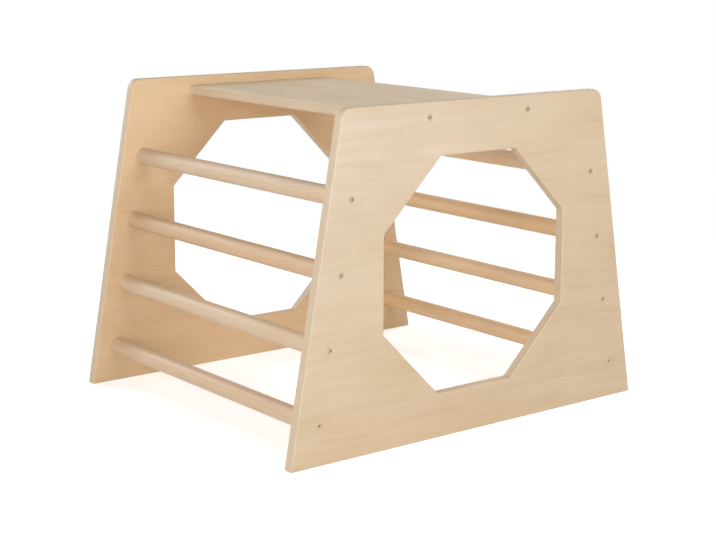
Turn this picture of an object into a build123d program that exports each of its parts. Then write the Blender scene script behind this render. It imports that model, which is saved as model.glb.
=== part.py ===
"""Wooden climbing cube for small children: two plywood sides, eight round rungs and a platform board.

Frame: X runs along the rungs, from the left side panel to the right one. Y runs from the front slope
to the rear slope. Z is up, and the origin is on the floor, midway between the panels and the slopes.
"""
from build123d import *
import os
from math import atan2, cos

# Overall sizes, in millimetres
overall_width = 640         # along X, over the outer faces of both side panels
panel_height = 550
base_depth = 750            # along Y, at the floor
top_depth = 550             # along Y, at the top edge
panel_thickness = 18
top_corner_radius = 20
panel_edge_round = 2.5      # rounding of every panel edge, to be kind to hands and knees

# Octagonal opening of each side panel, with flat sides below and above
opening_floor_margin = 75   # panel left below the opening
opening_top_margin = 87     # panel left above the opening
opening_corner_radius = 4   # left by the cutter in each of the eight corners
opening_side_count = 8

# Platform board
platform_thickness = 18
platform_depth = 310        # along Y
platform_recess = 16        # from the panels' top edges down to the board's upper face
platform_edge_round = 3

# Rungs
rung_count = 4              # on each slope
rung_diameter = 30
rung_edge_distance = 42.5   # from the rung's axis to the slanted panel edge, square to that edge
lowest_rung_height = 65     # from the floor to the axis
top_rung_drop = 106         # from the platform's lower face down to the axis
rung_end_chamfer = 1
pocket_depth = 6            # of the blind pocket in the panel that carries the rung's end
pocket_clearance = 0.15     # between the rung and the wall of its pocket

# Connector screws, with a flat countersunk head and a hexagon socket
screw_length = 50
screw_head_diameter = 10
screw_head_rim = 0.5        # height of the head's straight rim
screw_neck_diameter = 7
screw_core_diameter = 5
screw_tip_diameter = 3
screw_tip_length = 4
socket_side_count = 6
socket_across_flats = 4
socket_depth = 2.8
countersink_angle = 90
screw_head_recess = 0.2     # the head lies this far below the panel's outer face
screw_clearance = 0.1       # between a screw and the wood around it
pilot_end_gap = 2           # pilot hole left beyond the screw's tip
platform_screw_inset = 50   # from the platform's long edge to the screw's axis

# Places worked out from the sizes above
outer_face_x = overall_width / 2
inner_face_x = outer_face_x - panel_thickness
slope_run = (base_depth - top_depth) / 2
slope_angle = atan2(slope_run, panel_height)

opening_across_flats = panel_height - opening_floor_margin - opening_top_margin
opening_height = opening_floor_margin + opening_across_flats / 2

platform_top = panel_height - platform_recess
platform_underside = platform_top - platform_thickness
platform_screw_y = platform_depth / 2 - platform_screw_inset
platform_screw_z = platform_underside + platform_thickness / 2

top_rung_height = platform_underside - top_rung_drop
rung_pitch = (top_rung_height - lowest_rung_height) / (rung_count - 1)
rung_end_x = inner_face_x + pocket_depth

screw_head_x = outer_face_x - screw_head_recess
screw_neck_length = panel_thickness - pocket_depth - screw_head_recess
screw_hole_radius = max(screw_neck_diameter, screw_core_diameter) / 2 + screw_clearance
pilot_radius = screw_core_diameter / 2 + screw_clearance
pilot_end_x = screw_head_x - screw_length - pilot_end_gap
head_cone_height = (screw_head_diameter - screw_neck_diameter) / 2
countersink_radius = screw_head_diameter / 2 + screw_head_rim + screw_head_recess + screw_clearance

FRONT, REAR = -1, 1
LEFT, RIGHT = -1, 1


def rung_axis(slope, number):
    """Y and Z of a rung's axis, where number 0 is the lowest rung of the slope."""
    height = lowest_rung_height + number * rung_pitch
    panel_edge_y = base_depth / 2 - slope_run * height / panel_height
    return slope * (panel_edge_y - rung_edge_distance / cos(slope_angle)), height


def facing_out(side, x, y, z):
    """Plane square to X at distance x from the middle, facing away from it, with local Y upward."""
    return Plane(origin=(side * x, y, z), x_dir=(0, side, 0), z_dir=(side, 0, 0))


def facing_in(side, x, y, z):
    """Plane square to X at distance x from the middle, facing the middle, with local Y upward."""
    return Plane(origin=(side * x, y, z), x_dir=(0, -side, 0), z_dir=(-side, 0, 0))


def save(piece, name):
    piece.part.label = name
    export_step(piece.part, f"parts/{name}.step")


rung_axes = {
    f"{slope_name}_rung_{number + 1}": rung_axis(slope, number)
    for slope_name, slope in (("front", FRONT), ("rear", REAR))
    for number in range(rung_count)
}
platform_screw_axes = [(-platform_screw_y, platform_screw_z), (platform_screw_y, platform_screw_z)]

os.makedirs("parts", exist_ok=True)

# Side panels: a trapezoid with rounded top corners, an octagonal opening, a blind pocket for each
# rung end in the inner face, and a countersunk hole for each screw in the outer face
for side_name, side in (("left", LEFT), ("right", RIGHT)):
    inner_plane = facing_out(side, inner_face_x, 0, 0)
    with BuildPart() as side_panel:
        with BuildSketch(inner_plane):
            with BuildLine():
                Polyline(
                    (-base_depth / 2, 0),
                    (base_depth / 2, 0),
                    (top_depth / 2, panel_height),
                    (-top_depth / 2, panel_height),
                    close=True,
                )
            outline = make_face()
            fillet(outline.vertices().group_by(Axis.Y)[-1], radius=top_corner_radius)
        extrude(amount=panel_thickness)
        with BuildSketch(inner_plane):
            with Locations((0, opening_height)):
                RegularPolygon(
                    radius=opening_across_flats / 2,
                    side_count=opening_side_count,
                    major_radius=False,
                    rotation=180 / opening_side_count,
                )
            fillet(vertices(), radius=opening_corner_radius)
        extrude(amount=panel_thickness, mode=Mode.SUBTRACT)
        foot_corners = side_panel.edges().filter_by(Axis.X).group_by(Axis.Z)[0]
        face_edges = side_panel.faces().filter_by(Axis.X).edges()
        fillet(face_edges + foot_corners, radius=panel_edge_round)
        with Locations(*[facing_in(side, inner_face_x, y, z) for y, z in rung_axes.values()]):
            Hole(radius=rung_diameter / 2 + pocket_clearance, depth=pocket_depth)
        screw_axes = [*rung_axes.values(), *platform_screw_axes]
        with Locations(*[facing_out(side, outer_face_x, y, z) for y, z in screw_axes]):
            CounterSinkHole(
                radius=screw_hole_radius,
                counter_sink_radius=countersink_radius,
                counter_sink_angle=countersink_angle,
            )
    save(side_panel, f"{side_name}_side_panel")

# Platform board: butts against both inner faces, with two pilot holes in each end
with BuildPart() as platform_board:
    with BuildSketch(Plane.XY.offset(platform_underside)):
        Rectangle(2 * inner_face_x, platform_depth)
    extrude(amount=platform_thickness)
    fillet(platform_board.edges().filter_by(Axis.X), radius=platform_edge_round)
    pilot_places = [
        facing_out(side, inner_face_x, y, z) for side in (LEFT, RIGHT) for y, z in platform_screw_axes
    ]
    with Locations(*pilot_places):
        Hole(radius=pilot_radius, depth=inner_face_x - pilot_end_x)
save(platform_board, "platform_board")

# Rungs: round rods that reach to the floor of both pockets, with a pilot hole in each end
for rung_name, (y, z) in rung_axes.items():
    with BuildPart() as rung:
        with BuildSketch(facing_out(RIGHT, -rung_end_x, y, z)):
            Circle(rung_diameter / 2)
        extrude(amount=2 * rung_end_x)
        chamfer(rung.edges(), length=rung_end_chamfer)
        with Locations(*[facing_out(side, rung_end_x, y, z) for side in (LEFT, RIGHT)]):
            Hole(radius=pilot_radius, depth=rung_end_x - pilot_end_x)
    save(rung, rung_name)

# One connector screw, with the top of its head at the origin and its tip pointing down
with BuildPart() as screw:
    with BuildSketch(Plane.XZ):
        with BuildLine():
            Polyline(
                (0, 0),
                (screw_head_diameter / 2, 0),
                (screw_head_diameter / 2, -screw_head_rim),
                (screw_neck_diameter / 2, -screw_head_rim - head_cone_height),
                (screw_neck_diameter / 2, -screw_neck_length),
                (screw_core_diameter / 2, -screw_neck_length),
                (screw_core_diameter / 2, screw_tip_length - screw_length),
                (screw_tip_diameter / 2, -screw_length),
                (0, -screw_length),
                close=True,
            )
        make_face()
    revolve(axis=Axis.Z)
    with BuildSketch(Plane.XY):
        RegularPolygon(
            radius=socket_across_flats / 2, side_count=socket_side_count, major_radius=False
        )
    extrude(amount=-socket_depth, mode=Mode.SUBTRACT)

# Screws of the rungs, one at each end, and of the platform, two at each end
for rung_name, (y, z) in rung_axes.items():
    with BuildPart() as rung_screws:
        with Locations(*[facing_out(side, screw_head_x, y, z) for side in (LEFT, RIGHT)]):
            add(screw.part)
    save(rung_screws, f"{rung_name}_screws")

for side_name, side in (("left", LEFT), ("right", RIGHT)):
    with BuildPart() as platform_screws:
        with Locations(*[facing_out(side, screw_head_x, y, z) for y, z in platform_screw_axes]):
            add(screw.part)
    save(platform_screws, f"platform_screws_{side_name}")
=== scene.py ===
"""Looks of the wooden climbing cube: birch plywood panels and platform, round rungs and plated screws,
on a white studio floor. Lengths are in metres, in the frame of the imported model, and in millimetres
inside the materials."""
import math
from collections import namedtuple

import bpy
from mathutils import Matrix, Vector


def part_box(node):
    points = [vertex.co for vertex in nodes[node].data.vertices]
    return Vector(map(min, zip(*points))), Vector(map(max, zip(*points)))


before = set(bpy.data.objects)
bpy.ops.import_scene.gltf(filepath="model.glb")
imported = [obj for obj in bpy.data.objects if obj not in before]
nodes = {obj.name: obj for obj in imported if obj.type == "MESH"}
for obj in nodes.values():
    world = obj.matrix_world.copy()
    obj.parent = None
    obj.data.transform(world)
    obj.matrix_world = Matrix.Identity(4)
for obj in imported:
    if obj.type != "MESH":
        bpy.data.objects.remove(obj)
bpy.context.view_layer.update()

MM = 0.001
AXES = "XYZ"
COLOUR_RANGE = 255
SCREEN_GAMMA = 2.2

# Camera, worked out from the lines of the photograph, with its angles in degrees
IMAGE_WIDTH = 716
SENSOR_WIDTH_MM = 36
FOCAL_PIXELS = 1570
CAMERA_PLACE = (2.178, -1.691, 0.791)
CAMERA_AZIMUTH = 52.13
CAMERA_ELEVATION = 11.77
CAMERA_ROLL = 0.17

# Lamps: bearing from +X towards the front and angle above the floor, in degrees, distance from the
# object's centre and width, in metres, and power in watts
OBJECT_CENTRE = (0, 0, 0.3)
SOFTBOXES = {
    "key_softbox": (0, 24, 2.6, 1.2, 29),
    "front_softbox": (68, 12, 2.6, 1.2, 31),
    "left_softbox": (165, 20, 2.6, 1.2, 28),
    "rear_softbox": (-110, 20, 2.6, 1.2, 26),
}

# Studio
TENT_LIGHT = 0.18           # strength of the even light from all sides
PLAIN_WHITE = 1.0           # strength that shows as white
WHITE = (1, 1, 1, 1)
FLOOR_REACH = 30            # from the middle to each side
FLOOR_PAPER = (240, 240, 240)
FLOOR_GLOW = 0.5            # added to the floor where the camera sees it, so that it shows white
SHADOW_REACH = (0.8, 1.8)   # distances between which the floor fades to plain white

# A feature of a figure is this long and this wide, in millimetres, and is drawn by noise of this
# detail and roughness, which varies about the middle
Feature = namedtuple("Feature", "length width detail roughness", defaults=(2.0, 0.5))
NOISE_MIDDLE = 0.5
BUMP_STRENGTH = 0.6

# Below, a pair called STEP holds the values at which something begins to show and shows fully, and
# COVER is how much it then hides of the colour under it. Tables of weights say how much each feature
# counts in the tone, where 0 is the lightest and 1 the darkest, in the roughness and in the relief.
# Heights of waves and reliefs are in millimetres.

# Plywood colours, from 0 to 255, and their shares in the lightest and the darkest tone
OUTER_VENEER = (218, 193, 160)
# Painted highlight: the outer face turns to this paler, whiter colour towards its front-top corner, where
# it is brighter
OUTER_PAINTED_SHEEN = (221, 200, 175)
# Painted light: the inner faces' veneer, lighter and warmer than the outer one, stands in for light and
# wood-coloured bounce inside the cube
INNER_VENEER_AND_PAINTED_LIGHT = (229, 196, 156)
PLATFORM_VENEER = (215, 190, 154)
SAWN_EDGE = (203, 187, 164)
PLATFORM_EDGE = (217, 200, 175)
MARK_COLOUR = (196, 160, 122)
END_GRAIN_COLOUR = (196, 176, 148)
GLUE_COLOUR = (172, 140, 106)
VENEER_LIGHT = (1.036, 1.05, 1.08)
VENEER_DARK = (0.963, 0.946, 0.905)

# Plies
BOARDS = ("right_side_panel", "left_side_panel", "platform_board")
BOARD_LENGTH = 1500         # of veneer from one board's stretch to the next one's, in millimetres
PLY_COUNT = 13
HALF_PLY = 0.5
PLY_MARGIN = 0.02           # how far inside the first and the last ply the faces lie, in plies
PLY_WAVE = Feature(40.0, 40.0)
PLY_WAVE_HEIGHT = 0.4
GLUE_LINE = 0.1             # from a glue line's middle to its edge, in plies
GLUE_COVER = 0.6

# Figure of the veneer
VENEER_FIBRE = Feature(26.0, 0.5, 3.0, 0.6)
VENEER_DRIFT = Feature(260.0, 90.0)
VENEER_SWAY = 60.0          # how far the drift moves the figure across the grain, in millimetres
VENEER_BAND = Feature(420.0, 10.0, 3.0, 0.6)
VENEER_CLOUD = Feature(150.0, 60.0)
VENEER_RIPPLE = Feature(45.0, 6.0, 1.0)
VENEER_CONTOUR = Feature(700.0, 55.0, 1.0)
CONTOUR_RATE = 7.0          # contour lines from the lowest noise to the highest
HALF_CONTOUR = 0.5
CONTOUR_STEP = (0.14, 0.0)
CONTOUR_TONE = 0.1
VENEER_STREAK = Feature(110.0, 2.6, 1.0)
STREAK_STEP = (0.67, 0.8)
STREAK_COVER = 0.3
VENEER_PORE = Feature(5.0, 0.4, 1.0)
PORE_STEP = (0.7, 0.8)
PORE_COVER = 0.34
VENEER_TONE = {"band": 0.9, "cloud": 0.9, "fibre": 0.7, "ripple": 0.25}
VENEER_ROUGHNESS = {"fibre": 0.2, "ripple": 0.15, "cloud": 0.1}
VENEER_RELIEF = {"fibre": 0.8, "mark": -1.0, "glue": -0.6, "ripple": 0.3}
VENEER_RELIEF_HEIGHT = 0.05

# Painted sheen on the outer face's front-top corner, faces and edges of the plywood
SHEEN_ACROSS = 0.8        # part of the way across the grain in the way to the painted sheen's corner
SHEEN_ALONG = -0.6        # part of the way along it
SHEEN_STEP = (180, 560)
FACE_STEP = (0.35, 0.65)    # parts of the thickness between which the end face's veneer begins
SAWN_STEP = (0.9, 0.4)
SAWN_COVER = 0.65
END_GRAIN_STEP = (0.3, 0.95)
END_GRAIN_SPECKLE = Feature(0.6, 0.6, 2.0, 0.7)
END_GRAIN_TONE = {"speckle": 0.8, "own_tone": 1.2}
END_GRAIN_DULLNESS = 0.2
OWN_TONE_RATE = 7.3         # noise passed through from one ply to the next

# Rungs, each from its own length of wood. The rear rungs' colours are painted lighter than the front
# rungs': painted light for the light that the rear rungs lack behind the front rungs and under the
# platform
ROD_TONES_AND_PAINTED_LIGHT = {
    "front_rung_1": (215, 186, 156),
    "front_rung_2": (217, 191, 161),
    "front_rung_3": (212, 178, 142),
    "front_rung_4": (214, 187, 158),
    # painted light: the rear rungs are made lighter than the front ones, for light that falls among the
    # panels
    "rear_rung_1": (238, 206, 166),
    "rear_rung_2": (237, 207, 169),
    "rear_rung_3": (234, 200, 158),
    "rear_rung_4": (236, 207, 171),
}
ROD_LIGHT = (1.03, 1.04, 1.06)
ROD_DARK = (0.95, 0.925, 0.88)
ROD_LENGTH = 900            # of wood from one rung's stretch to the next one's, in millimetres
ROD_TURN = 67               # of the growth rings from one rung to the next, in degrees
RING_LEANS = (0.012, 0.016, 0.02)   # slopes against the rod's axis, which the rungs take in turn
RING_BOW = Feature(320.0, 90.0, 1.0)
RING_BOW_HEIGHT = 26.0
RING_CURVE = 0.011
RING_WIDTH = 3.1            # in millimetres
LATE_WOOD_STEP = (0.35, 0.95)
RING_END_STEP = (1.0, 0.95)
LATE_WOOD_TONE = 0.3
EARLY_WOOD_TONE = -0.08
ROD_BAND = Feature(900.0, 2.0, 2.0, 0.6)
ROD_CLOUD = Feature(130.0, 30.0)
ROD_FIBRE = Feature(18.0, 0.4, 3.0, 0.6)
ROD_FLECK = Feature(2.6, 0.4, 1.0)
FLECK_STEP = (0.67, 0.77)
FLECK_COVER = 0.4
FLECK_COLOUR = (180, 140, 104)
ROD_TONE = {"band": 0.9, "cloud": 0.7, "fibre": 0.9}
ROD_ROUGHNESS = {"fibre": 0.25, "cloud": 0.1}
ROD_RELIEF = {"fibre": 0.8, "fleck": -0.8, "late_wood": 0.2}
ROD_RELIEF_HEIGHT = 0.04

# Screws
STEEL = (203, 184, 156)
STEEL_BRIGHT = (1.04, 1.04, 1.04)
STEEL_DULL = (0.9, 0.9, 0.9)
STEEL_STAIN = Feature(2.0, 2.0)
STEEL_ROUGHNESS = 0.3
STAIN_DULLNESS = 0.2
TURNING_RATE = 7.0          # turning marks to the millimetre
TURNING_HEIGHT = 0.02


def linear(colour, shares=(1, 1, 1)):
    """A colour given as three values from 0 to 255, times three shares, as the shader wants it."""
    values = [pow(value * share / COLOUR_RANGE, SCREEN_GAMMA) for value, share in zip(colour, shares)]
    return (*values, 1)


class Shader:
    """The emptied node tree of a material or world, with short calls for the nodes used here."""

    def __init__(self, owner, output_kind="ShaderNodeOutputMaterial"):
        owner.use_nodes = True
        self.owner = owner
        self.tree = owner.node_tree
        self.tree.nodes.clear()
        self.output = self.tree.nodes.new(output_kind)

    def node(self, kind, inputs=(), **settings):
        """A new node with these settings. inputs are a table by socket or a row in the sockets' order."""
        made = self.tree.nodes.new(kind)
        for key, value in settings.items():
            setattr(made, key, value)
        sockets = inputs if isinstance(inputs, dict) else dict(enumerate(inputs))
        for key, value in sockets.items():
            self.feed(made.inputs[key], value)
        return made

    def feed(self, socket, value):
        """Links a socket to another node's output, or sets it to a plain value."""
        if isinstance(value, bpy.types.NodeSocket):
            self.tree.links.new(value, socket)
        else:
            socket.default_value = value

    def math(self, operation, first, second=0.0, third=0.0):
        return self.node("ShaderNodeMath", (first, second, third), operation=operation).outputs[0]

    def clamp(self, value, low=0.0, high=1.0):
        return self.math("MINIMUM", self.math("MAXIMUM", value, low), high)

    def step(self, value, low, high):
        """0 at low, 1 at high and a soft step between them, whichever of the two is larger."""
        inputs = {"Value": value, "From Min": low, "From Max": high}
        return self.node("ShaderNodeMapRange", inputs, interpolation_type="SMOOTHSTEP").outputs["Result"]

    def weigh(self, values, weights):
        """A half, plus how far each weighed value is from a half, times its weight."""
        total = NOISE_MIDDLE
        for name, weight in weights.items():
            off_middle = self.math("SUBTRACT", values[name], NOISE_MIDDLE)
            total = self.math("MULTIPLY_ADD", off_middle, weight, total)
        return total

    def combine(self, x, y, z):
        return self.node("ShaderNodeCombineXYZ", (x, y, z)).outputs[0]

    def separate(self, vector):
        return self.node("ShaderNodeSeparateXYZ", (vector,)).outputs

    def mix(self, factor, first, second, kind="RGBA"):
        """Goes from first to second, two colours or two vectors, as factor goes from 0 to 1."""
        made = self.node("ShaderNodeMix", data_type=kind)
        sockets = [socket for socket in made.inputs if socket.enabled]
        for socket, value in zip(sockets, (factor, first, second)):
            self.feed(socket, value)
        return next(socket for socket in made.outputs if socket.enabled)

    def mix_shaders(self, factor, first, second):
        return self.node("ShaderNodeMixShader", (factor, first, second)).outputs[0]

    def noise(self, vector, detail=2.0, roughness=0.5):
        """Cloudy values about a half, with features about one unit wide."""
        inputs = {"Vector": vector, "Scale": 1.0, "Detail": detail, "Roughness": roughness}
        return self.node("ShaderNodeTexNoise", inputs).outputs["Fac"]

    def noise_along(self, value, rate, detail=2.0):
        """Cloudy values that change with one value only, at that rate."""
        return self.noise(self.combine(self.math("MULTIPLY", value, rate), 0.0, 0.0), detail)

    def stretched(self, feature, along, across, depth):
        """Coordinates in which the feature is one unit long and one unit wide."""
        return self.combine(
            self.math("DIVIDE", along, feature.length),
            self.math("DIVIDE", across, feature.width),
            self.math("DIVIDE", depth, feature.width),
        )

    def figure(self, feature, along, across, depth):
        """Cloudy values about a half, drawn as the feature says."""
        vector = self.stretched(feature, along, across, depth)
        return self.noise(vector, feature.detail, feature.roughness)

    def place(self):
        """The point's X, Y and Z in millimetres."""
        inputs = {0: self.node("ShaderNodeTexCoord").outputs["Object"], "Scale": 1 / MM}
        return self.separate(self.node("ShaderNodeVectorMath", inputs, operation="SCALE").outputs[0])

    def bump(self, height, distance):
        """Normal of a relief that is distance high, in millimetres."""
        inputs = {"Strength": BUMP_STRENGTH, "Distance": distance * MM, "Height": height}
        return self.node("ShaderNodeBump", inputs).outputs[0]

    def seen_directly(self):
        """1 for what the camera sees, by itself, in a gloss or through something clear."""
        paths = self.node("ShaderNodeLightPath").outputs
        seen = self.math("MAXIMUM", paths["Is Camera Ray"], paths["Is Glossy Ray"])
        return self.math("MAXIMUM", seen, paths["Is Transmission Ray"])

    def end_in(self, surface):
        """Links the surface to the output, and returns the material or world."""
        self.feed(self.output.inputs["Surface"], surface)
        return self.owner

    def end_in_surface(self, inputs):
        return self.end_in(self.node("ShaderNodeBsdfPrincipled", inputs).outputs[0])


def plies(shader, along, across, depth, thickness):
    """Which ply the point is in, counted from the start face, 1 if its grain is crossed, and 1 in glue."""
    wave = shader.math("SUBTRACT", shader.figure(PLY_WAVE, along, across, depth), NOISE_MIDDLE)
    wavy_depth = shader.math("MULTIPLY_ADD", wave, PLY_WAVE_HEIGHT, depth)
    ply = shader.math("DIVIDE", wavy_depth, thickness / PLY_COUNT)
    ply = shader.clamp(ply, PLY_MARGIN, PLY_COUNT - PLY_MARGIN)
    number = shader.math("FLOOR", ply)
    crossed = shader.math("MODULO", number, 2.0)
    between_faces = shader.clamp(ply, HALF_PLY, PLY_COUNT - HALF_PLY)
    to_glue = shader.math("PINGPONG", between_faces, HALF_PLY)
    return number, crossed, shader.step(to_glue, GLUE_LINE, 0.0)


def veneer_fibre(shader, along, across, depth, crossed):
    """Fine fibres, which turn by a quarter from each ply to the next."""
    with_grain = shader.stretched(VENEER_FIBRE, along, across, depth)
    across_grain = shader.stretched(VENEER_FIBRE, across, along, depth)
    turned = shader.mix(crossed, with_grain, across_grain, "VECTOR")
    return shader.noise(turned, VENEER_FIBRE.detail, VENEER_FIBRE.roughness)


def veneer_figure(shader, along, across, depth):
    """Slow figure of a peeled veneer: bands, clouds, a cross ripple and faint contour lines. The marks
    are a few long streaks, and the short dark pores of birch."""
    drift = shader.figure(VENEER_DRIFT, along, across, depth)
    swayed = shader.math("MULTIPLY_ADD", drift, VENEER_SWAY, across)
    contour = shader.figure(VENEER_CONTOUR, along, swayed, depth)
    contour = shader.math("PINGPONG", shader.math("MULTIPLY", contour, CONTOUR_RATE), HALF_CONTOUR)
    streak = shader.step(shader.figure(VENEER_STREAK, along, swayed, depth), *STREAK_STEP)
    pore = shader.step(shader.figure(VENEER_PORE, along, across, depth), *PORE_STEP)
    streak_cover = shader.math("MULTIPLY", streak, STREAK_COVER)
    return {
        "band": shader.figure(VENEER_BAND, along, swayed, depth),
        "cloud": shader.figure(VENEER_CLOUD, along, swayed, depth),
        "ripple": shader.figure(VENEER_RIPPLE, across, along, depth),
        "contour": shader.step(contour, *CONTOUR_STEP),
        "mark": shader.math("MULTIPLY_ADD", pore, PORE_COVER, streak_cover),
    }


def veneer_colour(shader, face, painted_sheen, veneers, shares):
    """Colour between the start face and the end face, and towards the painted sheen that lightens the end
    face's front-top corner.
    """
    start_veneer, end_veneer, sheen_colour = (linear(veneer, shares) for veneer in veneers)
    return shader.mix(face, start_veneer, shader.mix(painted_sheen, end_veneer, sheen_colour))


def end_grain(shader, figure, crossed, facing_grain, facing_cross):
    """How much end grain shows: it does where the surface cuts across the fibres of the ply."""
    turn = shader.math("SUBTRACT", facing_cross, facing_grain)
    end_on = shader.step(shader.math("MULTIPLY_ADD", turn, crossed, facing_grain), *END_GRAIN_STEP)
    return shader.math("MULTIPLY", end_on, shader.clamp(shader.weigh(figure, END_GRAIN_TONE)))


def plywood(name, board, directions, start, thickness, veneers, sawn_edge):
    """Birch plywood, in which each board, by its number, has its own stretch of veneer.

    directions names three axes: along the face grain, across it and through the plies. The board
    begins at start on the last axis, whichever side of the middle it is on. veneers are the colours
    of that face, of the other face and of the painted sheen, which is painted light on the other
    face's front-top corner, and sawn_edge is the colour of the edges.
    """
    shader = Shader(bpy.data.materials.new(name))
    position = shader.place()
    grain, cross, through = (AXES.index(axis) for axis in directions)
    along = shader.math("ADD", position[grain], board * BOARD_LENGTH)
    across = position[cross]
    depth = shader.math("SUBTRACT", shader.math("ABSOLUTE", position[through]), start)

    number, crossed, glue = plies(shader, along, across, depth, thickness)
    figure = veneer_figure(shader, along, across, depth)
    figure["fibre"] = veneer_fibre(shader, along, across, depth, crossed)
    figure["speckle"] = shader.figure(END_GRAIN_SPECKLE, along, across, depth)
    figure["own_tone"] = shader.noise_along(number, OWN_TONE_RATE, detail=0.0)
    figure["glue"] = glue
    tone = shader.weigh(figure, VENEER_TONE)
    tone = shader.clamp(shader.math("MULTIPLY_ADD", figure["contour"], CONTOUR_TONE, tone))

    # The end face's veneer turns to a paler, whiter painted sheen towards its front-top corner: painted
    # light where that face is brighter
    to_corner = shader.math("MULTIPLY", position[grain], SHEEN_ALONG)
    to_corner = shader.math("MULTIPLY_ADD", across, SHEEN_ACROSS, to_corner)
    painted_sheen = shader.step(to_corner, *SHEEN_STEP)
    face = shader.step(depth, *(thickness * part for part in FACE_STEP))
    light = veneer_colour(shader, face, painted_sheen, veneers, VENEER_LIGHT)
    dark = veneer_colour(shader, face, painted_sheen, veneers, VENEER_DARK)
    colour = shader.mix(figure["mark"], shader.mix(tone, light, dark), linear(MARK_COLOUR))

    # The sawn edges are duller than the sanded faces, and show end grain and glue lines
    normal = shader.separate(shader.node("ShaderNodeTexCoord").outputs["Normal"])
    facing_grain, facing_cross, facing_through = (
        shader.math("ABSOLUTE", normal[axis]) for axis in (grain, cross, through)
    )
    sawn = shader.math("MULTIPLY", shader.step(facing_through, *SAWN_STEP), SAWN_COVER)
    end_on = end_grain(shader, figure, crossed, facing_grain, facing_cross)
    colour = shader.mix(sawn, colour, linear(sawn_edge))
    colour = shader.mix(end_on, colour, linear(END_GRAIN_COLOUR))
    colour = shader.mix(shader.math("MULTIPLY", glue, GLUE_COVER), colour, linear(GLUE_COLOUR))

    roughness = shader.weigh(figure, VENEER_ROUGHNESS)
    return shader.end_in_surface({
        "Base Color": colour,
        "Roughness": shader.math("MULTIPLY_ADD", end_on, END_GRAIN_DULLNESS, roughness),
        "Normal": shader.bump(shader.weigh(figure, VENEER_RELIEF), VENEER_RELIEF_HEIGHT),
    })


def growth_rings(shader, number, along, across, beside):
    """Way across the growth rings, and 1 in the dark late wood of each ring. The rings bow a little and
    lean against the rod's axis, so that they come out in long tongues."""
    bow = shader.figure(RING_BOW, along, across, beside)
    leaning = shader.math("MULTIPLY_ADD", along, RING_LEANS[number % len(RING_LEANS)], across)
    leaning = shader.math("MULTIPLY_ADD", bow, RING_BOW_HEIGHT, leaning)
    curve = shader.math("MULTIPLY", shader.math("MULTIPLY", beside, beside), RING_CURVE)
    leaning = shader.math("ADD", leaning, curve)
    ring = shader.math("FRACT", shader.math("DIVIDE", leaning, RING_WIDTH))
    late_wood = shader.step(ring, *LATE_WOOD_STEP)
    return leaning, shader.math("MULTIPLY", late_wood, shader.step(ring, *RING_END_STEP))


def rod_wood(name, number, centre_y, centre_z, rod_tone_and_light):
    """Solid wood of a rung along X. The number sets how its growth rings lie, so that no two match. Its
    colour is the wood's tone, painted lighter for the rear rungs.
    """
    shader = Shader(bpy.data.materials.new(name))
    along, y, z = shader.place()
    along = shader.math("ADD", along, number * ROD_LENGTH)
    y = shader.math("SUBTRACT", y, centre_y)
    z = shader.math("SUBTRACT", z, centre_z)
    cosine = math.cos(math.radians(number * ROD_TURN))
    sine = math.sin(math.radians(number * ROD_TURN))
    across = shader.math("MULTIPLY_ADD", z, sine, shader.math("MULTIPLY", y, cosine))
    beside = shader.math("MULTIPLY_ADD", z, cosine, shader.math("MULTIPLY", y, -sine))

    leaning, late_wood = growth_rings(shader, number, along, across, beside)
    fleck = shader.step(shader.figure(ROD_FLECK, along, leaning, beside), *FLECK_STEP)
    figure = {
        "band": shader.figure(ROD_BAND, along, leaning, beside),
        "cloud": shader.figure(ROD_CLOUD, along, across, beside),
        "fibre": shader.figure(ROD_FIBRE, along, across, beside),
        "fleck": fleck,
        "late_wood": late_wood,
    }
    tone = shader.math("ADD", shader.weigh(figure, ROD_TONE), EARLY_WOOD_TONE)
    tone = shader.clamp(shader.math("MULTIPLY_ADD", late_wood, LATE_WOOD_TONE, tone))
    colour = shader.mix(tone, linear(rod_tone_and_light, ROD_LIGHT), linear(rod_tone_and_light, ROD_DARK))
    fleck_cover = shader.math("MULTIPLY", fleck, FLECK_COVER)
    return shader.end_in_surface({
        "Base Color": shader.mix(fleck_cover, colour, linear(FLECK_COLOUR)),
        "Roughness": shader.weigh(figure, ROD_ROUGHNESS),
        "Normal": shader.bump(shader.weigh(figure, ROD_RELIEF), ROD_RELIEF_HEIGHT),
    })


def plated_steel(name, axis_y, axis_z):
    """Plated steel with fine turning marks round the axis of each screw, at axis_y from the middle."""
    shader = Shader(bpy.data.materials.new(name))
    y, z = shader.place()[1:]
    off_y = shader.math("SUBTRACT", shader.math("ABSOLUTE", y), axis_y)
    off_z = shader.math("SUBTRACT", z, axis_z)
    square = shader.math("MULTIPLY_ADD", off_y, off_y, shader.math("MULTIPLY", off_z, off_z))
    radius = shader.math("SQRT", square)
    stain = shader.figure(STEEL_STAIN, off_y, off_z, radius)
    return shader.end_in_surface({
        "Base Color": shader.mix(stain, linear(STEEL, STEEL_BRIGHT), linear(STEEL, STEEL_DULL)),
        "Metallic": 1.0,
        "Roughness": shader.math("MULTIPLY_ADD", stain, STAIN_DULLNESS, STEEL_ROUGHNESS),
        "Normal": shader.bump(shader.noise_along(radius, TURNING_RATE), TURNING_HEIGHT),
    })


def dress_panel(name):
    low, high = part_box(name)
    inner_face = min(abs(low.x), abs(high.x)) / MM
    thickness = (high.x - low.x) / MM
    # The inner face's colour holds painted light, and the outer face's front-top corner gets a painted
    # sheen
    veneers = (INNER_VENEER_AND_PAINTED_LIGHT, OUTER_VENEER, OUTER_PAINTED_SHEEN)
    board = BOARDS.index(name)
    return plywood(f"plywood_{name}", board, "YZX", inner_face, thickness, veneers, SAWN_EDGE)


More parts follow.
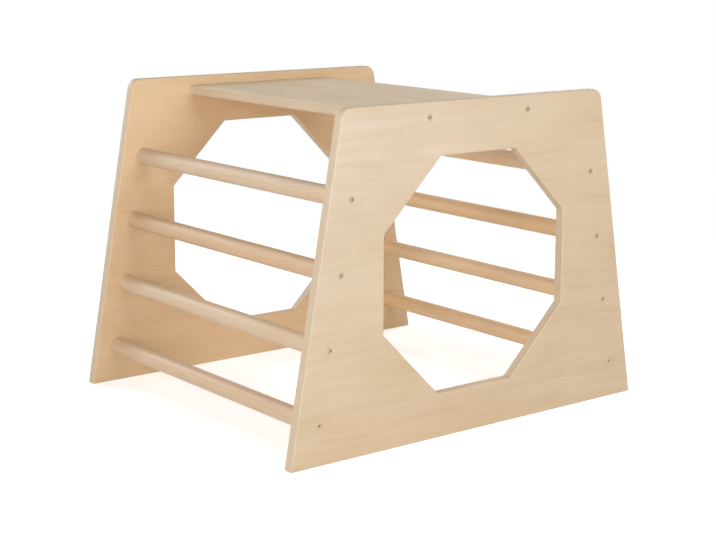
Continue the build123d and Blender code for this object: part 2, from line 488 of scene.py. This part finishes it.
def dress_platform(name):
    low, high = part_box(name)
    thickness = (high.z - low.z) / MM
    # The underside takes the inner faces' colour, with its painted light
    veneers = (INNER_VENEER_AND_PAINTED_LIGHT, PLATFORM_VENEER, PLATFORM_VENEER)
    board = BOARDS.index(name)
    return plywood(f"plywood_{name}", board, "XYZ", low.z / MM, thickness, veneers, PLATFORM_EDGE)


def dress_screws(name):
    """A node's two screws share one axis, or they lie beside each other along Y."""
    low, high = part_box(name)
    head_radius = (high.z - low.z) / 2
    middle = (low + high) / 2
    pair_along_y = high.y - low.y > 2 * head_radius + MM
    axis_y = high.y - head_radius if pair_along_y else abs(middle.y)
    return plated_steel(f"steel_{name}", axis_y / MM, middle.z / MM)


def dress_rung(name):
    low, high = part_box(name)
    middle = (low + high) / 2 / MM
    number = sorted(ROD_TONES_AND_PAINTED_LIGHT).index(name)
    return rod_wood(f"rod_{name}", number, middle.y, middle.z, ROD_TONES_AND_PAINTED_LIGHT[name])


def dress_cad_nodes():
    """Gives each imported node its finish."""
    for name, node in nodes.items():
        if "screws" in name:
            material = dress_screws(name)
        elif "rung" in name:
            material = dress_rung(name)
        elif "platform" in name:
            material = dress_platform(name)
        else:
            material = dress_panel(name)
        for slot in node.material_slots:
            slot.material = material


def studio_floor():
    """A wide white floor, which keeps the object's soft shadow and is plain white further off."""
    corners = [(FLOOR_REACH * x, FLOOR_REACH * y, 0.0) for x, y in ((-1, -1), (1, -1), (1, 1), (-1, 1))]
    mesh = bpy.data.meshes.new("studio_floor")
    mesh.from_pydata(corners, [], [(0, 1, 2, 3)])
    floor = bpy.data.objects.new("studio_floor", mesh)
    bpy.context.scene.collection.objects.link(floor)

    shader = Shader(bpy.data.materials.new("studio_white"))
    paper = shader.node("ShaderNodeBsdfDiffuse", {"Color": linear(FLOOR_PAPER)}).outputs[0]
    glow = shader.node("ShaderNodeEmission", {"Strength": FLOOR_GLOW}).outputs[0]
    white = shader.node("ShaderNodeEmission", {"Strength": PLAIN_WHITE}).outputs[0]
    bright_paper = shader.node("ShaderNodeAddShader", (paper, glow)).outputs[0]
    place = shader.node("ShaderNodeTexCoord").outputs["Object"]
    distance = shader.node("ShaderNodeVectorMath", (place,), operation="LENGTH").outputs["Value"]
    fading = shader.mix_shaders(shader.step(distance, *SHADOW_REACH), bright_paper, white)
    surface = shader.mix_shaders(shader.seen_directly(), paper, fading)
    mesh.materials.append(shader.end_in(surface))


def studio_world():
    """An even white tent, which shows as plain white."""
    shader = Shader(bpy.data.worlds.new("studio_world"), "ShaderNodeOutputWorld")
    tent, white = (
        shader.node("ShaderNodeBackground", {"Color": WHITE, "Strength": strength}).outputs[0]
        for strength in (TENT_LIGHT, PLAIN_WHITE)
    )
    surface = shader.mix_shaders(shader.seen_directly(), tent, white)
    bpy.context.scene.world = shader.end_in(surface)


def softbox(name, bearing, height, distance, width, power):
    """A square lamp that shines at the object's centre and isn't seen itself."""
    lamp = bpy.data.lights.new(name, "AREA")
    lamp.shape = "SQUARE"
    lamp.size = width
    lamp.energy = power
    holder = bpy.data.objects.new(name, lamp)
    bearing, height = math.radians(bearing), math.radians(height)
    level = distance * math.cos(height)
    away = Vector((level * math.cos(bearing), -level * math.sin(bearing), distance * math.sin(height)))
    holder.location = Vector(OBJECT_CENTRE) + away
    holder.rotation_euler = (-away).to_track_quat("-Z", "Y").to_euler()
    holder.visible_camera = False
    bpy.context.scene.collection.objects.link(holder)


def place_camera():
    """The photograph's camera, which looks level along +Y where its three angles are 0."""
    data = bpy.data.cameras.new("camera")
    data.sensor_width = SENSOR_WIDTH_MM
    data.lens = FOCAL_PIXELS / IMAGE_WIDTH * SENSOR_WIDTH_MM
    camera = bpy.data.objects.new("camera", data)
    turn = Matrix.Rotation(math.radians(CAMERA_AZIMUTH), 4, "Z")
    tilt = Matrix.Rotation(math.radians(90 - CAMERA_ELEVATION), 4, "X")
    roll = Matrix.Rotation(math.radians(CAMERA_ROLL), 4, "Z")
    camera.matrix_world = Matrix.Translation(CAMERA_PLACE) @ turn @ tilt @ roll
    bpy.context.scene.collection.objects.link(camera)
    bpy.context.scene.camera = camera


dress_cad_nodes()
studio_floor()
studio_world()
for softbox_name, softbox_values in SOFTBOXES.items():
    softbox(softbox_name, *softbox_values)
place_camera()
bpy.context.scene.view_settings.view_transform = "Standard"
